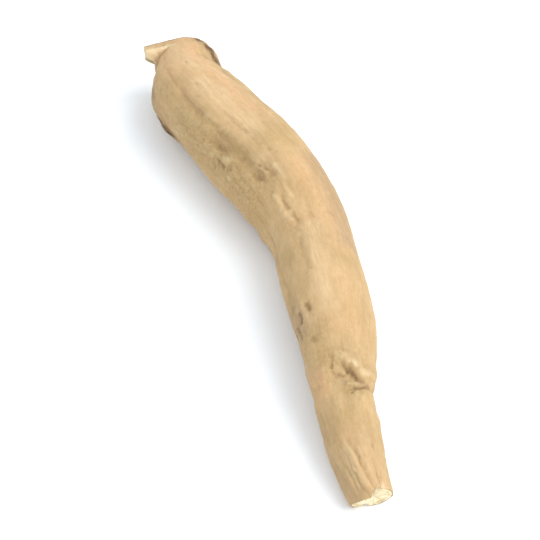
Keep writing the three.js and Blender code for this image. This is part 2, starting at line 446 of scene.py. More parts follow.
SCARS = (
    Scar((34, 96), 1.2, 0.4, 0.4),
    Scar((61, 132), 1.4, 0.45, 0.4),
    Scar((16, 158), 1.1, 0.35, 0.4),
    Scar((97, 118), 0.8, 0.3, 0.3),
    Scar((47, -138), 1.2, 0.4, 0.35),
)

# Narrow folds and cracks that only show from near
FINE_STROKES = strokes(
    (40.8, -29, 42.6, -27, 0.3, 0.2),
    (46.4, -20, 48.6, -17, 0.35, 0.22),
    (50.2, -38, 52.6, -35, 0.35, 0.2),
    (49.2, -27.5, 51.0, -25.5, 0.25, -0.12),
    (53.2, -24, 55.4, -22, 0.25, -0.12),
    (56.5, -33, 60.2, -29, 0.35, 0.15),
    (86.6, -14, 87.0, -5, 0.3, 0.2),
    (87.4, -23, 88.4, -21, 0.22, -0.2),
    (87.6, 3, 88.6, 6, 0.3, -0.12),
    (88.6, 7, 90.4, 19, 0.25, -0.14),
    (87.2, 9, 88.2, 17, 0.25, 0.22),
    (88.9, -4, 89.2, 3, 0.35, 0.15),
    (89.9, -14, 89.6, 2, 0.2, -0.16),
    (89.9, 8, 90.6, 22, 0.28, -0.14),
    (88.9, 22, 89.8, 27, 0.3, 0.18),
    (87.5, 34, 89.0, 40, 0.35, -0.12),
    (92.2, 14, 91.7, 46, 0.25, -0.12),
    (90.4, 30, 90.6, 52, 0.3, 0.18),
    (91.3, 4, 91.5, 18, 0.3, 0.12),
    (86.0, 22, 86.4, 30, 0.3, 0.15),
    (84.9, -2, 85.3, 6, 0.3, 0.12),
    (84.0, 8, 84.9, 20, 0.3, 0.15),
    (83.6, 28, 84.2, 44, 0.35, 0.15),
    (101.2, -46, 109.8, -25, 0.22, -0.1),
    (103.0, -19, 110.2, -2, 0.22, -0.09),
    (105.0, 18, 110.2, 28, 0.25, -0.1),
    (102.5, -62, 109.0, -44, 0.25, -0.08),
)

# Patches and streaks of each tone: the head ends at 22 mm, the bend starts at 40, the knot at 84
MARKS = {
    Tone.STAIN_AND_SHADE: strokes(
        (1.3, -20, 1.6, -62, 0.4, 0.6),
        # The dark crescent beside the head's right rim: partly dark bark, partly painted shade where the
        # rim turns away from the light
        (2.6, 26, 5.0, 42, 1.2, 1.05),
        (5.0, 42, 7.8, 58, 1.3, 1.05),
        # The dark edge low on the heel's left: partly stain, partly painted shade where the heel turns
        # under towards the floor
        (6.6, -85, 11.4, -99, 2.4, 0.85),
        (9.0, -82, 14.0, -96, 2.4, 0.3),
        (11.0, -104, 15.4, -113, 2.2, 1.0),
        (28.4, -78, 28.8, -77, 0.4, 0.35),
        (29.8, -64, 30.2, -63, 0.35, 0.3),
        (31.6, -84, 32.4, -83, 0.5, 0.35),
        (31.6, -55, 33.0, -52, 0.5, 0.4),
        (33.0, -73, 34.6, -72, 0.7, 0.45),
        (36.0, -70, 36.6, -68, 0.5, 0.35),
        (37.8, -84, 38.2, -82, 0.4, 0.3),
        # Darker in the grooves and hollows of the crumpled line
        (40.2, -26, 42.2, -23, 0.4, 0.4),
        (41.6, -39, 42.6, -37, 0.8, 0.4),
        (48.8, -29, 51.0, -26.5, 0.3, 0.25),
        (52.8, -25, 55.4, -22.5, 0.3, 0.3),
        (54.2, 27, 55.2, 32, 0.3, 0.3),
        (57, -30, 66, -25, 0.7, 0.2),
        (74.4, -45, 75.6, -42, 0.6, 0.45),
        (75.4, -61, 76.0, -62, 0.55, 0.5),
        (76.6, -60, 77.6, -63, 0.5, 0.6),
        (76.8, -40, 77.2, -38, 0.35, 0.3),
        (76.8, -78, 77.8, -75, 0.6, 0.55),
        (77.0, -90, 77.6, -88, 0.8, 0.5),
        (78.2, -52, 78.6, -50, 0.3, 0.25),
        (79.0, -70, 79.6, -68, 0.5, 0.5),
        (81.3, -47, 81.8, -45, 0.5, 0.4),
        (83.2, -64, 83.6, -62, 0.4, 0.3),
        (84.6, 4, 85.4, 8, 0.3, 0.25),
        # The knot's creases: partly dark bark, partly painted shade
        (86.0, -19, 88.4, -21, 0.35, 0.45),
        (87.0, 1, 88.6, 8, 0.5, 0.5),
        (89.0, 10, 90.4, 20, 0.5, 0.7),
        (89.0, -48, 91.0, -46, 1.6, 0.14),
        (89.2, -18, 89.6, 4, 0.35, 0.4),
        (90.2, 20, 90.8, 28, 0.6, 0.4),
        (91.4, 6, 92.4, 16, 1.0, 0.12),
        (92.2, 16, 91.8, 38, 0.55, 0.5),
        (99.0, -47, 99.5, -46, 0.4, 0.35),
        (103, -46, 109.5, -30, 0.4, 0.15),
        (107, 20, 110.3, 29, 0.35, 0.3),
    ),
    Tone.PALE_AND_HIGHLIGHT: strokes(
        (5.4, -12, 5.2, -30, 0.8, 0.4),
        # Painted light on the top of the head and the shoulder
        (6, -26, 15, -4, 3.0, 0.35),
        # Painted highlight on the bump near the head's right edge
        (15.0, 24, 19.0, 22, 1.0, 0.35),
        # Painted light along the top of the shoulder
        (18, -12, 34, -10, 2.6, 0.4),
        (19, -89, 22, -84, 2.0, 0.3),
        (24, 110, 32, 118, 1.2, 0.5),
        # Painted highlight on the shoulder's swelling
        (25, 5, 29, 3, 1.0, 0.2),
        (30.6, -72, 31.0, -71, 0.5, 0.45),
        (34.8, -61, 34.9, -60, 0.8, 0.4),
        (36.6, -78, 37.2, -77, 0.5, 0.4),
        (38.6, -60, 39.2, -58, 0.6, 0.35),
        # Paler along the ridges of the crumpled line
        (42.4, -16, 44.4, -15, 0.5, 0.25),
        (47.4, -36, 48.8, -33, 0.45, 0.3),
        (52.0, -31, 54.0, -28, 0.45, 0.25),
        # Painted light along the top of the bend
        (58, -10, 76, -10, 2.6, 0.35),
        # The tops of the knot's lumps: partly pale bark, partly painted highlight
        (85.6, -8, 86.2, -1, 0.5, 0.3),
        (86.8, 12, 87.6, 18, 0.5, 0.5),
        (88.6, 24, 89.4, 31, 0.5, 0.4),
        (89.0, 42, 89.4, 48, 0.5, 0.3),
        (103, -34, 108, -30, 1.6, 0.35),
        (109.6, 30, 110.2, 36, 0.8, 0.7),
    ),
    Tone.OLIVE: strokes(
        (1.8, -22, 2.0, -60, 1.1, 0.7),
        (4.0, 10, 6.0, 24, 1.4, 0.6),
        (7.0, 44, 9.0, 52, 1.0, 0.6),
        (11, -64, 24, -50, 2.6, 0.35),
        (22, -72, 42, -66, 5.6, 0.7),
        (30, -46, 44, -44, 3.4, 0.55),
        (40, 150, 66, 168, 6.0, 0.6),
        (80, -44, 87, -32, 2.4, 0.45),
        (84, 96, 104, 112, 2.6, 0.5),
        (86.6, -16, 90.4, 24, 1.3, 0.35),
        (91.6, 6, 92.8, 20, 1.4, 1.0),
        (93.4, 14, 94.6, 28, 1.3, 0.35),
        (94.6, -24, 97.2, -14, 1.5, 0.3),
    ),
    Tone.ROSY_AND_HIGHLIGHT: strokes(
        (3.0, -10, 12, 8, 3.5, 1.0),
        (4, -38, 12, -24, 3.4, 0.9),
        # Painted light along the top of the shoulder
        (10, -8, 32, -10, 3.2, 0.8),
        (14, 12, 30, 10, 3.2, 0.9),
        (16, -34, 24, -30, 2.4, 0.5),
        (44, 22, 62, 30, 4.0, 0.75),
        # Painted light along the top of the bend
        (56, -8, 80, -8, 2.8, 0.6),
        (64, 92, 82, 104, 4.5, 0.5),
        (70, 10, 80, 22, 4.0, 0.5),
        (88.4, -50, 91.2, -46, 1.7, 1.0),
        (100, -14, 109, -6, 2.4, 0.6),
        (104, 20, 110, 34, 1.8, 0.5),
    ),
    Tone.TAUPE_AND_SHADE: strokes(
        # Greyish bark with painted shade along the head's right rim
        (2.8, 28, 8.4, 62, 2.2, 0.6),
        # Painted shade where the heel turns under towards the floor
        (9.0, -80, 14.0, -98, 3.0, 0.9),
        # Painted shade along the underside
        (12, -150, 44, -160, 5.0, 0.6),
        (18.5, -39, 23.8, -39, 0.6, 0.4),
        # Painted shade on the right of the shoulder's top, so that its lit side lies further left
        (26, 17, 34, 17, 2.6, 0.3),
        (41, -12, 45, -12, 2.2, 0.5),
        # Painted shadow on the right flank of the bend, as if cast by a root lying beside it
        (43, 46, 61, 48, 3.4, 0.75),
        # Painted shade along the underside
        (60, -140, 88, -150, 4.0, 0.6),
        (73, -78, 79, -62, 2.8, 0.8),
        (82, 12, 86, 16, 2.6, 0.35),
        (83, -86, 88, -62, 2.6, 0.6),
        # Greyish bark with painted shade under the knot's folds
        (90.8, -2, 91.6, 34, 1.1, 0.7),
        (94, -84, 110, -70, 3.0, 0.6),
        (100, 16, 110, 24, 3.4, 0.4),
        (108.6, -70, 109.4, -30, 1.4, 0.5),
    ),
}


@dataclass(frozen=True)
class Wrinkles:
    """The rule that spreads the coarse wrinkles evenly over the bark, as in the solid."""

    count: int = 54
    length: Pair = (7, 22)
    half: Pair = (0.6, 1.2)
    height: float = 0.15
    drift: float = 16
    spread: Point = (0.8191725134, 0.6710436067, 0.5497004779)

    def evenly(self, number: int, way: int) -> float:
        """The even sequence's value of this number in one of its three ways, from 0 to 1."""
        return (0.5 + number * self.spread[way]) % 1

    def strokes(self, root_length: float) -> list[Stroke]:
        """The wrinkles as strokes.

        Args:
            root_length: Millimetres of bark that they share.

        Returns:
            Ridges and grooves in turn.
        """
        made = []
        for i in range(self.count):
            length = self.length[0] + (self.length[1] - self.length[0]) * self.evenly(i * 7, 2)
            start = self.evenly(i, 0) * (root_length - length)
            around = self.evenly(i, 1) * 360 - 180
            half = self.half[0] + (self.half[1] - self.half[0]) * self.evenly(i * 3, 1)
            end = (start + length, around + (self.evenly(i * 5, 0) - 0.5) * self.drift)
            made.append(Stroke((start, around), end, half, self.height if i % 2 else -self.height))
        return made


@dataclass(frozen=True)
class Splinter:
    """The flat strip of torn wood that stands out beside the head."""

    # Where it lies along the root and half its width there, in millimetres
    at: float = 2.9
    half: float = 1.45
    # The degrees between which it runs, and over which its end drops and frays
    leaves: float = -8
    ends: float = -66
    drop: float = 6
    fray: float = 7
    # Its reach from the middle line and its roughness in millimetres, and the share it sinks to
    reach: float = 7.4
    roughness: float = 0.12
    sunk: float = 0.9
    # Its strands: how much of one a degree is, and how large their frays and their roughness are
    strand: float = 0.02
    fray_size: Point = (0.5, 1.5, 1)
    rough_size: Point = (0.4, 1.2, 1)
    # Where its edge fades out and its torn side starts and ends, in half widths from its middle
    faded: float = 1.4
    torn_side: Pair = (0.4, 0.9)
    # Where its torn end starts and ends, before its full reach, and how high above the bark it shows
    torn_end: Pair = (0.5, 0.1)
    torn_above: float = 0.3

    def radius(self, places: Places) -> Array:
        """How far out the strip reaches, or 0 where there is none.

        Args:
            places: The places.

        Returns:
            The strip's distance from the middle line.
        """
        around, plain = places.around, places.plain
        strands = np.stack([places.along, around * self.strand, np.zeros_like(plain)], axis=-1)
        frayed = self.fray * np.abs(Lumps(71).at(strands, self.fray_size))
        tilt = np.radians(np.clip(around, self.ends, self.leaves) - self.leaves)
        side = np.sin(np.radians(np.clip(around, -90, self.leaves)))
        flat = np.minimum(plain / np.cos(tilt), -self.reach / side)
        flat += self.roughness * Lumps(72).at(strands, self.rough_size)
        there = 1 - smoothstep(np.abs(places.along - self.at), self.half, self.half * self.faded)
        there *= 1 - smoothstep(self.ends + frayed - around, 0, self.drop)
        outside = (around > self.leaves) | (around < self.ends - self.drop)
        return np.where(outside, 0, plain * self.sunk + (flat - plain * self.sunk) * there)

    def torn(self, places: Places) -> Array:
        """Where it shows its torn wood: on its side towards the tip and on its far end.

        Args:
            places: The places.

        Returns:
            Numbers from 0 to 1.
        """
        radius = self.radius(places)
        past = places.along - self.at
        side = smoothstep(past, self.half * self.torn_side[0], self.half * self.torn_side[1])
        out = radius * np.sin(np.radians(-places.around))
        end = smoothstep(out, self.reach - self.torn_end[0], self.reach - self.torn_end[1])
        above = smoothstep(radius - places.plain, -self.torn_above, self.torn_above)
        return np.maximum(side, end) * above * (radius > 0)


@dataclass
class RootForm:
    """The root's shape as formulas: its middle line, its thickness and its relief."""

    length: float = 110
    # The head's cut: its place, how it slants to the right and up, and how hollow it is
    head_end: float = 1.4
    head_slant: Pair = (0.12, 0.02)
    head_dish: float = 0.35
    # The snapped tip: its place, where its two halves part, and the step and the leans of them
    tip_end: float = 110.4
    tip_tear: Pair = (-1.0, 0.0)
    tip_step: float = 0.45
    tip_lean: float = 0.35
    tip_lean_lost: float = 0.33
    # Where the tip starts and ends to grow flat, and by how much
    tip_flattening: Point = (92, 108, 0.75)
    # The flank where the bark is smooth: its middle, its reach, over which share of the reach it
    # ends, and the wrinkles left on it
    smooth_flank: Pair = (60, 40)
    smooth_reach: Pair = (34, 46)
    smooth_fade: Pair = (0.5, 1.2)
    smooth_least: float = 0.25
    # Where there is much to show along the root, how far each of these places reaches, and over
    # which share of the reach it ends
    busy_at: tuple[float, ...] = (1.4, 48, 89, 110.4)
    busy_reach: tuple[float, ...] = (4, 8, 6, 8)
    busy_fade: Pair = (0.8, 2.2)
    relief_strays: float = 0.3
    splinter: Splinter = field(default_factory=Splinter)
    wrinkles: Wrinkles = field(default_factory=Wrinkles)

    def __post_init__(self) -> None:
        """Prepares the curves and the strokes that every place on the bark asks for."""
        table = np.array(CENTRE_LINE)
        self.middle = SmoothCurve(table[:, :3])
        self.thickness = SmoothCurve(table[:, 3:])
        self.head_radius = float(table[0, 3])
        self.tip_radius = float(table[-1, 3])
        self.coarse_wrinkles = self.wrinkles.strokes(self.length)

    def places(self, along: Array, around: Array) -> Places:
        """These places, with the root's radius before its relief."""
        return Places(along, around, self.thickness.at(along / self.length)[..., 0])

    def frame_at(self, along: Array) -> tuple[Array, Array, Array]:
        """The middle of the root there, and the directions to its right and its top.

        Args:
            along: Millimetres along the root.

        Returns:
            The middle points, and the unit directions right and up.
        """
        nudge = 0.002
        share = np.clip(along / self.length, 0, 1)
        before = self.middle.at(np.maximum(share - nudge, 0))
        after = self.middle.at(np.minimum(share + nudge, 1))
        forward = after - before
        forward /= np.linalg.norm(forward, axis=-1, keepdims=True)
        right = np.cross((0.0, 0.0, 1.0), forward)
        right /= np.linalg.norm(right, axis=-1, keepdims=True)
        past = (along - share * self.length)[..., None]
        return self.middle.at(share) + forward * past, right, np.cross(forward, right)

    def point_at(self, along: Array, rightward: Array, upward: Array) -> Array:
        """The points that lie so far along, and so far right and up of the middle there."""
        centre, right, up = self.frame_at(along)
        return centre + right * rightward[..., None] + up * upward[..., None]

    def liveliness(self, places: Places) -> Array:
        """How wrinkled the bark is.

        Args:
            places: The places.

        Returns:
            One in general, and less on the smooth flank.
        """
        away = np.hypot(
            (places.along - self.smooth_flank[0]) / self.smooth_reach[0],
            wrapped(places.around - self.smooth_flank[1]) / self.smooth_reach[1],
        )
        return self.smooth_least + (1 - self.smooth_least) * smoothstep(away, *self.smooth_fade)

    def relief(self, places: Places) -> Array:
        """The height of the swellings, strokes, wrinkles and scars at each place.

        Args:
            places: The places.

        Returns:
            Millimetres above the plain radius, or below it.
        """
        height = np.zeros_like(places.along)
        for wave in SWELLINGS:
            height += wave.heights(places)
        for stroke in STROKES:
            height += stroke.height * stroke.bell(places)
        lively = self.liveliness(places)
        for stroke in self.coarse_wrinkles:
            height += lively * stroke.height * stroke.bell(places)
        for scar in SCARS:
            height += scar.heights(places)
        start, end, depth = self.tip_flattening
        flattened = depth * smoothstep(places.along, start, end)
        return height - flattened * np.cos(np.radians(places.around)) ** 2

    def radius(self, places: Places) -> Array:
        """The root's radius at each place, with the relief of the solid."""
        radius = places.plain + self.relief(places.strayed(self.relief_strays))
        return np.maximum(radius, self.splinter.radius(places))

    def head_cut(self, rightward: Array, upward: Array) -> Array:
        """Where the head's cut face lies along the root, at so far right and up of the middle."""
        dish = self.head_dish * (1 - (rightward**2 + upward**2) / self.head_radius**2)
        return self.head_end + self.head_slant[0] * rightward + self.head_slant[1] * upward + dish

    def tip_cut(self, rightward: Array, upward: Array) -> Array:
        """Where the snapped tip ends: its left half broke off longer, and under its top edge."""
        torn = smoothstep(rightward, *self.tip_tear)
        return self.tip_end + (self.tip_lean - self.tip_lean_lost * torn) * upward - self.tip_step * torn

    def ring_places(self, fine: float, coarse: float) -> Array:
        """Ring places as shares of the way from head to tip, closer where there is much to show.

        Args:
            fine: Spacing at the busy places, in millimetres.
            coarse: Spacing on the plain stretches.

        Returns:
            Numbers from 0 to 1.
        """
        rings = [self.head_end]
        while rings[-1] < self.tip_end:
            away = np.min(np.abs(rings[-1] - np.array(self.busy_at)) / self.busy_reach)
            plain = float(smoothstep(away, *self.busy_fade))
            rings.append(rings[-1] + fine + (coarse - fine) * plain)
        return (np.array(rings) - rings[0]) / (rings[-1] - rings[0])


@dataclass
class FineBark:
    """The small relief that the solid leaves out: fine folds, fibres, warts, pits and roughness."""

    seed: int = 11
    strays: float = 0.45
    folds: int = 150
    fold_starts: Pair = (2, 104)
    fold_length: Pair = (3, 12)
    fold_drift: Pair = (-7, 7)
    fold_half: Pair = (0.25, 0.5)
    fold_height: float = 0.04
    fold_share: Pair = (0.4, 1)
    last_end: float = 110
    warts: int = 90
    wart_starts: Pair = (3, 108)
    wart_width: Pair = (1, 5)
    wart_half: Pair = (0.22, 0.4)
    wart_height: Pair = (0.06, 0.14)
    # The slit across a wart and the stain in it, as shares of the wart, and how dark the stain is
    slit_width: float = 0.4
    slit_depth: float = 0.8
    slit_stain_width: float = 0.6
    slit_stain: float = 0.15
    pits: int = 80
    pit_starts: Pair = (3, 109)
    pit_half: Pair = (0.15, 0.35)
    pit_depth: Pair = (0.04, 0.12)
    pit_length: Pair = (0, 0.8)
    # How strong a pit's stain is for each millimetre of its depth
    pit_stain: float = 3
    fibre_height: float = 0.028
    fine_fibres: float = 0.6
    lump_height: float = 0.06
    grain_height: float = 0.04
    crust_height: float = 0.12
    flake_height: float = 0.06
    # How large the creases, fibres, grains, crust, flakes and lumps are
    layer_sizes: tuple[Point, ...] = (
        (8, 1.3, 1.3),
        (4, 0.7, 0.7),
        (0.9, 0.6, 0.6),
        (1.6, 1.1, 1.1),
        (0.8, 0.7, 0.7),
        (2.6, 1.7, 1.7),
    )

    def __post_init__(self) -> None:
        """Scatters the folds, warts and pits over the bark."""
        random = np.random.default_rng(self.seed)
        self.strokes = list(FINE_STROKES)
        self.stains = []
        for i in range(self.folds):
            start, around = random.uniform(*self.fold_starts), random.uniform(-180, 180)
            length, drift = random.uniform(*self.fold_length), random.uniform(*self.fold_drift)
            half = random.uniform(*self.fold_half)
            height = random.uniform(*self.fold_share) * self.fold_height
            end = (min(start + length, self.last_end), around + drift)
            self.strokes.append(Stroke((start, around), end, half, height if i % 2 else -height))
        for _ in range(self.warts):
            start, around = random.uniform(*self.wart_starts), random.uniform(-180, 180)
            end = (start, around + random.uniform(*self.wart_width))
            half, height = random.uniform(*self.wart_half), random.uniform(*self.wart_height)
            # The wart, a slit across it, and the stain in the slit
            self.strokes.append(Stroke((start, around), end, half, height))
            slit_half, slit = half * self.slit_width, -height * self.slit_depth
            self.strokes.append(Stroke((start, around), end, slit_half, slit))
            stain_half = half * self.slit_stain_width
            self.stains.append(Stroke((start, around), end, stain_half, self.slit_stain))
        for _ in range(self.pits):
            start, around = random.uniform(*self.pit_starts), random.uniform(-180, 180)
            half, depth = random.uniform(*self.pit_half), random.uniform(*self.pit_depth)
            end = (start + random.uniform(*self.pit_length), around)
            self.strokes.append(Stroke((start, around), end, half, -depth))
            self.stains.append(Stroke((start, around), end, half, depth * self.pit_stain))

    def height(self, places: Places, lively: Array, rough: Array) -> Array:
        """The fine relief at each place.

        Args:
            places: The places.
            lively: How wrinkled the bark is there.
            rough: How rough it is there, from 0 to 1.

        Returns:
            Millimetres above the solid's relief, or below it.
        """
        height = np.zeros_like(places.along)
        moved = places.strayed(self.strays)
        for stroke in self.strokes:
            height += stroke.heights(moved)
        grain = places.grain()
        layers = [Lumps(self.seed + n).at(grain, size) for n, size in enumerate(self.layer_sizes, 1)]
        creases, fibres, grains, crust, flakes, lumps = layers
        height += lively * self.fibre_height * (1 - 2 * np.abs(creases))
        height += lively * self.fibre_height * self.fine_fibres * (1 - 2 * np.abs(fibres))
        height += self.lump_height * lumps + self.grain_height * grains
        return height + rough * (self.crust_height * np.abs(crust) + self.flake_height * flakes)


def softened(values: Array, rows: int, sides: int) -> Array:
    """Values on the grid of rings, averaged with their neighbours.

    Args:
        values: One row for each ring, with its first value again as its last.
        rows: How many rings to either side count.
        sides: How many places round the ring to either side count.

    Returns:
        The averages.
    """
    padded = np.pad(values[:, :-1], ((rows, rows), (0, 0)), mode="edge")
    count = 2 * rows + 1
    down = sum(padded[step : step + len(values)] for step in range(count)) / count
    ring = sum(np.roll(down, step, axis=1) for step in range(-sides, sides + 1)) / (2 * sides + 1)
    return np.concatenate([ring, ring[:, :1]], axis=1)


class NodeSheet:
    """A node tree with short ways to add the nodes that the finishes use."""

    def __init__(self, tree: Tree) -> None:
        """Keeps the node tree of a material or of a group."""
        self.tree = tree

    def feed(self, socket: Socket, value: object) -> None:
        """Links an output to a socket, or sets the socket's own value.

        Args:
            socket: The input to feed.
            value: An output socket, a number, a vector or a colour.
        """
        if isinstance(value, bpy.types.NodeSocket):
            self.tree.links.new(value, socket)
        else:
            socket.default_value = value

    def add(self, kind: str, inputs: dict[str | int, object], **settings: object) -> bpy.types.Node:
        """A new node.

        Args:
            kind: The node's type, without its usual prefix.
            inputs: What each of its inputs is fed, by name or number.
            settings: Its own settings.

        Returns:
            The node.
        """
        node = self.tree.nodes.new("ShaderNode" + kind)
        for name, value in settings.items():
            setattr(node, name, value)
        for name, value in inputs.items():
            self.feed(node.inputs[name], value)
        return node

    def group(self, tree: Tree, **inputs: object) -> list[Socket]:
        """The outputs of a shared group that is placed in this tree with its own inputs."""
        return list(self.add("Group", inputs, node_tree=tree).outputs)

    def attribute(self, name: str) -> Socket:
        """The vector that the skin carries under this name."""
        return self.add("Attribute", {}, attribute_name=name).outputs["Vector"]

    def parts(self, name: str) -> list[Socket]:
        """The three numbers of the vector that the skin carries under this name."""
        return list(self.add("SeparateXYZ", {0: self.attribute(name)}).outputs)

    def arithmetic(self, operation: str, *values: object) -> Socket:
        """The result of one step of arithmetic on one to three values."""
        return self.add("Math", dict(enumerate(values)), operation=operation).outputs[0]

    def times(self, first: object, second: object) -> Socket:
        """One value times another."""
        return self.arithmetic("MULTIPLY", first, second)

    def vector(self, operation: str, inputs: dict[str | int, object]) -> Socket:
        """The result of one step of arithmetic on vectors."""
        return self.add("VectorMath", inputs, operation=operation).outputs[0]

    def mix(self, share: object, base: object, over: object, blend: str = "MIX") -> Socket:
        """One colour laid over another.

        Args:
            share: How much of it shows, from 0 to 1.
            base: The colour underneath.
            over: The colour on top.
            blend: How they are combined.

        Returns:
            The mixed colour.
        """
        inputs = {0: share, 6: base, 7: over}
        return self.add("Mix", inputs, data_type="RGBA", blend_type=blend).outputs[2]

    def graded(
        self, value: object, low: float, high: float, to_low: float = 0, to_high: float = 1
    ) -> Socket:
        """A value brought smoothly from one range to another, and held at its ends.

        Args:
            value: The value.
            low, high: The first range.
            to_low, to_high: What its ends become.

        Returns:
            The graded value.
        """
        inputs = {0: value, 1: low, 2: high, 3: to_low, 4: to_high}
        return self.add("MapRange", inputs, interpolation_type="SMOOTHSTEP").outputs[0]

    def noise(self, place: object, scale: object, detail: float = 3, roughness: float = 0.55) -> Socket:
        """Cloudy noise from 0 to 1 at a place, so many clouds to the unit."""
        inputs = {"Vector": place, "Scale": scale, "Detail": detail, "Roughness": roughness}
        return self.add("TexNoise", inputs).outputs[0]

    def broken(self, mask: Socket, ragged: Socket, depth: float) -> Socket:
        """A soft mask with its edge broken up by noise, of which 0.5 leaves it as it is."""
        shift = self.arithmetic("MULTIPLY_ADD", ragged, depth * 4, 1 - depth * 2)
        return self.graded(self.times(mask, shift), 0.02, 1.15)

    def bump(self, height: Socket, strength: float) -> Socket:
        """The normals of relief that is at most a tenth of a millimetre high."""
        inputs = {"Height": height, "Strength": strength, "Distance": 0.1 * MM}
        return self.add("Bump", inputs).outputs[0]

    def surface(self, colour: object, rough: object, gloss: float) -> bpy.types.Node:
        """Feeds the material's own shader.

        Args:
            colour: The base colour.
            rough: The roughness.
            gloss: The specular level.

        Returns:
            The shader.
        """
        shader = self.tree.nodes["Principled BSDF"]
        self.feed(shader.inputs["Base Color"], colour)
        self.feed(shader.inputs["Roughness"], rough)
        self.feed(shader.inputs["Specular IOR Level"], gloss)
        return shader


def new_material(name: str) -> tuple[bpy.types.Material, NodeSheet]:
    """A new material and its sheet.

    Args:
        name: The material's name.

    Returns:
        The material and the sheet.
    """
    made = bpy.data.materials.new(name)
    made.use_nodes = True
    return made, NodeSheet(made.node_tree)


class SharedEffects:
    """The effects that more than one finish uses, each built once as a group."""

    KINDS = {"number": "NodeSocketFloat", "vector": "NodeSocketVector", "colour": "NodeSocketColor"}

    def __init__(self) -> None:
        """Builds the groups."""
        self.streaks = self.build_streaks()
        self.specks = self.build_specks()
        self.hollows_and_ridges = self.build_hollows_and_ridges()

    def new_group(
        self, name: str, inputs: dict[str, str], outputs: dict[str, str]
    ) -> tuple[NodeSheet, dict[str, Socket], dict[str, Socket]]:
        """An empty group with named inputs and outputs.

        Args:
            name: The group's name.
            inputs: Each input's kind, by name.
            outputs: Each output's kind, by name.

        Returns:
            The group's sheet, its inputs as they arrive inside, and its outputs as they leave.
        """
        tree = bpy.data.node_groups.new(name, "ShaderNodeTree")
        for way, sockets in (("INPUT", inputs), ("OUTPUT", outputs)):
            for title, kind in sockets.items():
                tree.interface.new_socket(title, in_out=way, socket_type=self.KINDS[kind])
        arriving = tree.nodes.new("NodeGroupInput")
        leaving = tree.nodes.new("NodeGroupOutput")
        into = {title: arriving.outputs[title] for title in inputs}
        out = {title: leaving.inputs[title] for title in outputs}
        return NodeSheet(tree), into, out

    def build_streaks(self) -> Tree:
        """Fibres that run along the first axis of a place given in millimetres.

        Returns:
            A group that puts out a mask of broad streaks and one of fine ones.
        """
        sheet, into, out = self.new_group(
            "fibre_streaks",
            {"Place": "vector", "Length": "number", "Width": "number", "Wander": "number"},
            {"Broad": "number", "Fine": "number"},
        )
        drift = sheet.add("TexNoise", {"Vector": into["Place"], "Scale": 0.12, "Detail": 1.0})
        centred = sheet.vector("SUBTRACT", {0: drift.outputs[1], 1: (0.5, 0.5, 0.5)})
        moved = sheet.vector("SCALE", {0: centred, "Scale": into["Wander"]})
        size = sheet.add("CombineXYZ", {0: into["Length"], 1: into["Width"], 2: into["Width"]})
        place = sheet.vector("ADD", {0: into["Place"], 1: moved})
        place = sheet.vector("DIVIDE", {0: place, 1: size.outputs[0]})
        sheet.feed(out["Broad"], sheet.graded(sheet.noise(place, 1.0, 2.0, 0.5), 0.3, 0.7))
        sheet.feed(out["Fine"], sheet.graded(sheet.noise(place, 3.1, 4.0, 0.6), 0.3, 0.7))
        return sheet.tree

    def build_specks(self) -> Tree:
        """Small round specks, of which only some of the cells hold one.

        Returns:
            A group that puts out a mask of the specks.
        """
        sheet, into, out = self.new_group(
            "specks",
            {"Place": "vector", "Spacing": "number", "Size": "number", "Share": "number"},
            {"Mask": "number"},
        )
        rate = sheet.arithmetic("DIVIDE", 1.0, into["Spacing"])
        cells = sheet.add("TexVoronoi", {"Vector": into["Place"], "Scale": rate})
        chance = sheet.add("SeparateColor", {0: cells.outputs["Color"]})
        held = sheet.arithmetic("LESS_THAN", chance.outputs[0], into["Share"])
        size = sheet.times(into["Size"], sheet.graded(chance.outputs[1], 0, 1, 0.4, 1))
        ragged = sheet.graded(sheet.noise(into["Place"], 3.0, 2.0), 0.3, 0.7, 0.7, 1.3)
        away = sheet.arithmetic("DIVIDE", sheet.times(cells.outputs["Distance"], ragged), size)
        soft = sheet.graded(sheet.arithmetic("SUBTRACT", 1.0, away), 0.0, 0.6)
        sheet.feed(out["Mask"], sheet.times(soft, held))
        return sheet.tree

    def build_hollows_and_ridges(self) -> Tree:
        """Darker colour in the hollows and paler wear on what stands out.

        Returns:
            A group that puts out a colour.
        """
        sheet, into, out = self.new_group(
            "hollows_and_ridges",
            {
                "Colour": "colour",
                "Relief": "number",
                "Dirt": "colour",
                "Dirtiness": "number",
                "Worn": "colour",
                "Wear": "number",
            },
            {"Colour": "colour"},
        )
        low = sheet.graded(sheet.times(into["Relief"], -1.0), 0.05, 0.9)
        high = sheet.graded(into["Relief"], 0.1, 1.0)
        darkened = sheet.mix(sheet.times(low, into["Dirtiness"]), into["Colour"], into["Dirt"])
        sheet.feed(out["Colour"], sheet.mix(sheet.times(high, into["Wear"]), darkened, into["Worn"]))
        return sheet.tree


